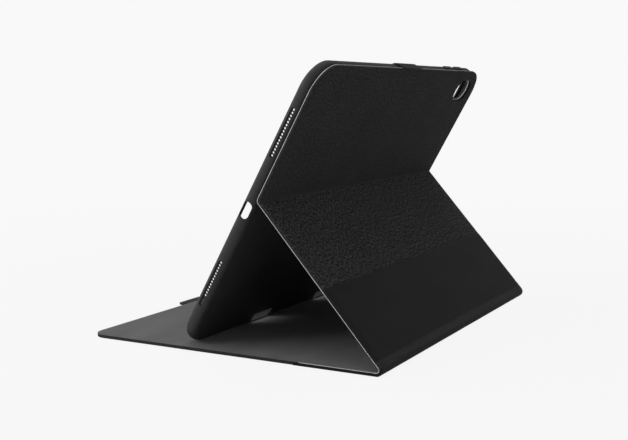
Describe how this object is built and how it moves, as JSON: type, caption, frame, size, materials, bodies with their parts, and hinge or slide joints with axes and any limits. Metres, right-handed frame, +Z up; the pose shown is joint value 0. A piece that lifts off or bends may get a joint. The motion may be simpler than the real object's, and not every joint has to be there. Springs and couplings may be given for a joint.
{
  "type": "tablet case",
  "caption": "Folio stand case for a tablet: moulded tray, fold-out kickstand panel, spine strip and lined front cover, standing open in its landscape viewing pose.",
  "frame": {"origin": "centre of the overall box, on the table surface under the front cover", "axes": "+Z up, +X along the long side towards the charging port's side, +Y towards the spine, -Y towards the front cover's free edge"},
  "size_m": [0.2862, 0.2476, 0.1966],
  "materials": {
    "tray": "soft matte moulded elastomer",
    "fabric": "fine woven textile",
    "smooth_skin": "smooth fine-grained coated sheet",
    "lining": "short-napped microfibre",
    "board": "pressed fibre board",
    "steel": "plated"
  },
  "bodies": {
    "front_cover": {"cover_lining": "lining", "cover_board": "board", "cover_fabric": "fabric", "cover_pu_band": "smooth_skin", "stand_magnets": "steel", "wake_magnets": "steel"},
    "spine": {"spine_lining": "lining", "spine_board": "board", "spine_pu_band": "smooth_skin"},
    "kickstand": {"flap_lining": "lining", "flap_board": "board", "flap_fabric": "fabric", "flap_pu_band": "smooth_skin", "flap_magnets": "steel"},
    "tray": {"tray_shell": "tray", "back_panel_lining": "lining", "back_panel_board": "board", "back_panel_fabric": "fabric", "tab_keeper_plate": "steel", "top_strap": "smooth_skin"},
    "power_button": {"power_button": "tray"},
    "volume_up_button": {"volume_up_button": "tray"},
    "volume_down_button": {"volume_down_button": "tray"},
    "closure_tab": {"tab_skin": "smooth_skin", "tab_lining": "lining", "tab_magnets": "steel"}
  },
  "joints": [
    {"name": "spine_fold", "type": "hinge", "parent": "front_cover", "child": "spine", "pos_m": [0, 0.1208, 0.003], "axis": [-1, 0, 0], "range_deg": [0, 69.5]},
    {"name": "kickstand_crease", "type": "hinge", "parent": "spine", "child": "kickstand", "pos_m": [0, 0.1155, 0.01364], "axis": [-1, 0, 0], "range_deg": [0, 60]},
    {"name": "stand_fold", "type": "hinge", "parent": "kickstand", "child": "tray", "pos_m": [0, 0.03483, 0.10608], "axis": [-1, 0, 0], "range_deg": [-69.5, 0]},
    {"name": "tab_fold", "type": "hinge", "parent": "front_cover", "child": "closure_tab", "pos_m": [0, -0.1118, 0.003], "axis": [-1, 0, 0], "range_deg": [0, 170]},
    {"name": "power_press", "type": "slide", "parent": "tray", "child": "power_button", "axis": [-1, 0, 0], "range_m": [-0.0005, 0], "stiffness_N_per_m": 1500},
    {"name": "volume_up_press", "type": "slide", "parent": "tray", "child": "volume_up_button", "axis": [0, 0.4909, 0.8712], "range_m": [-0.0005, 0], "stiffness_N_per_m": 1500},
    {"name": "volume_down_press", "type": "slide", "parent": "tray", "child": "volume_down_button", "axis": [0, 0.4909, 0.8712], "range_m": [-0.0005, 0], "stiffness_N_per_m": 1500}
  ],
  "couplings": [
    {"joint": "stand_fold", "follows": "spine_fold", "ratio": -1}
  ]
}
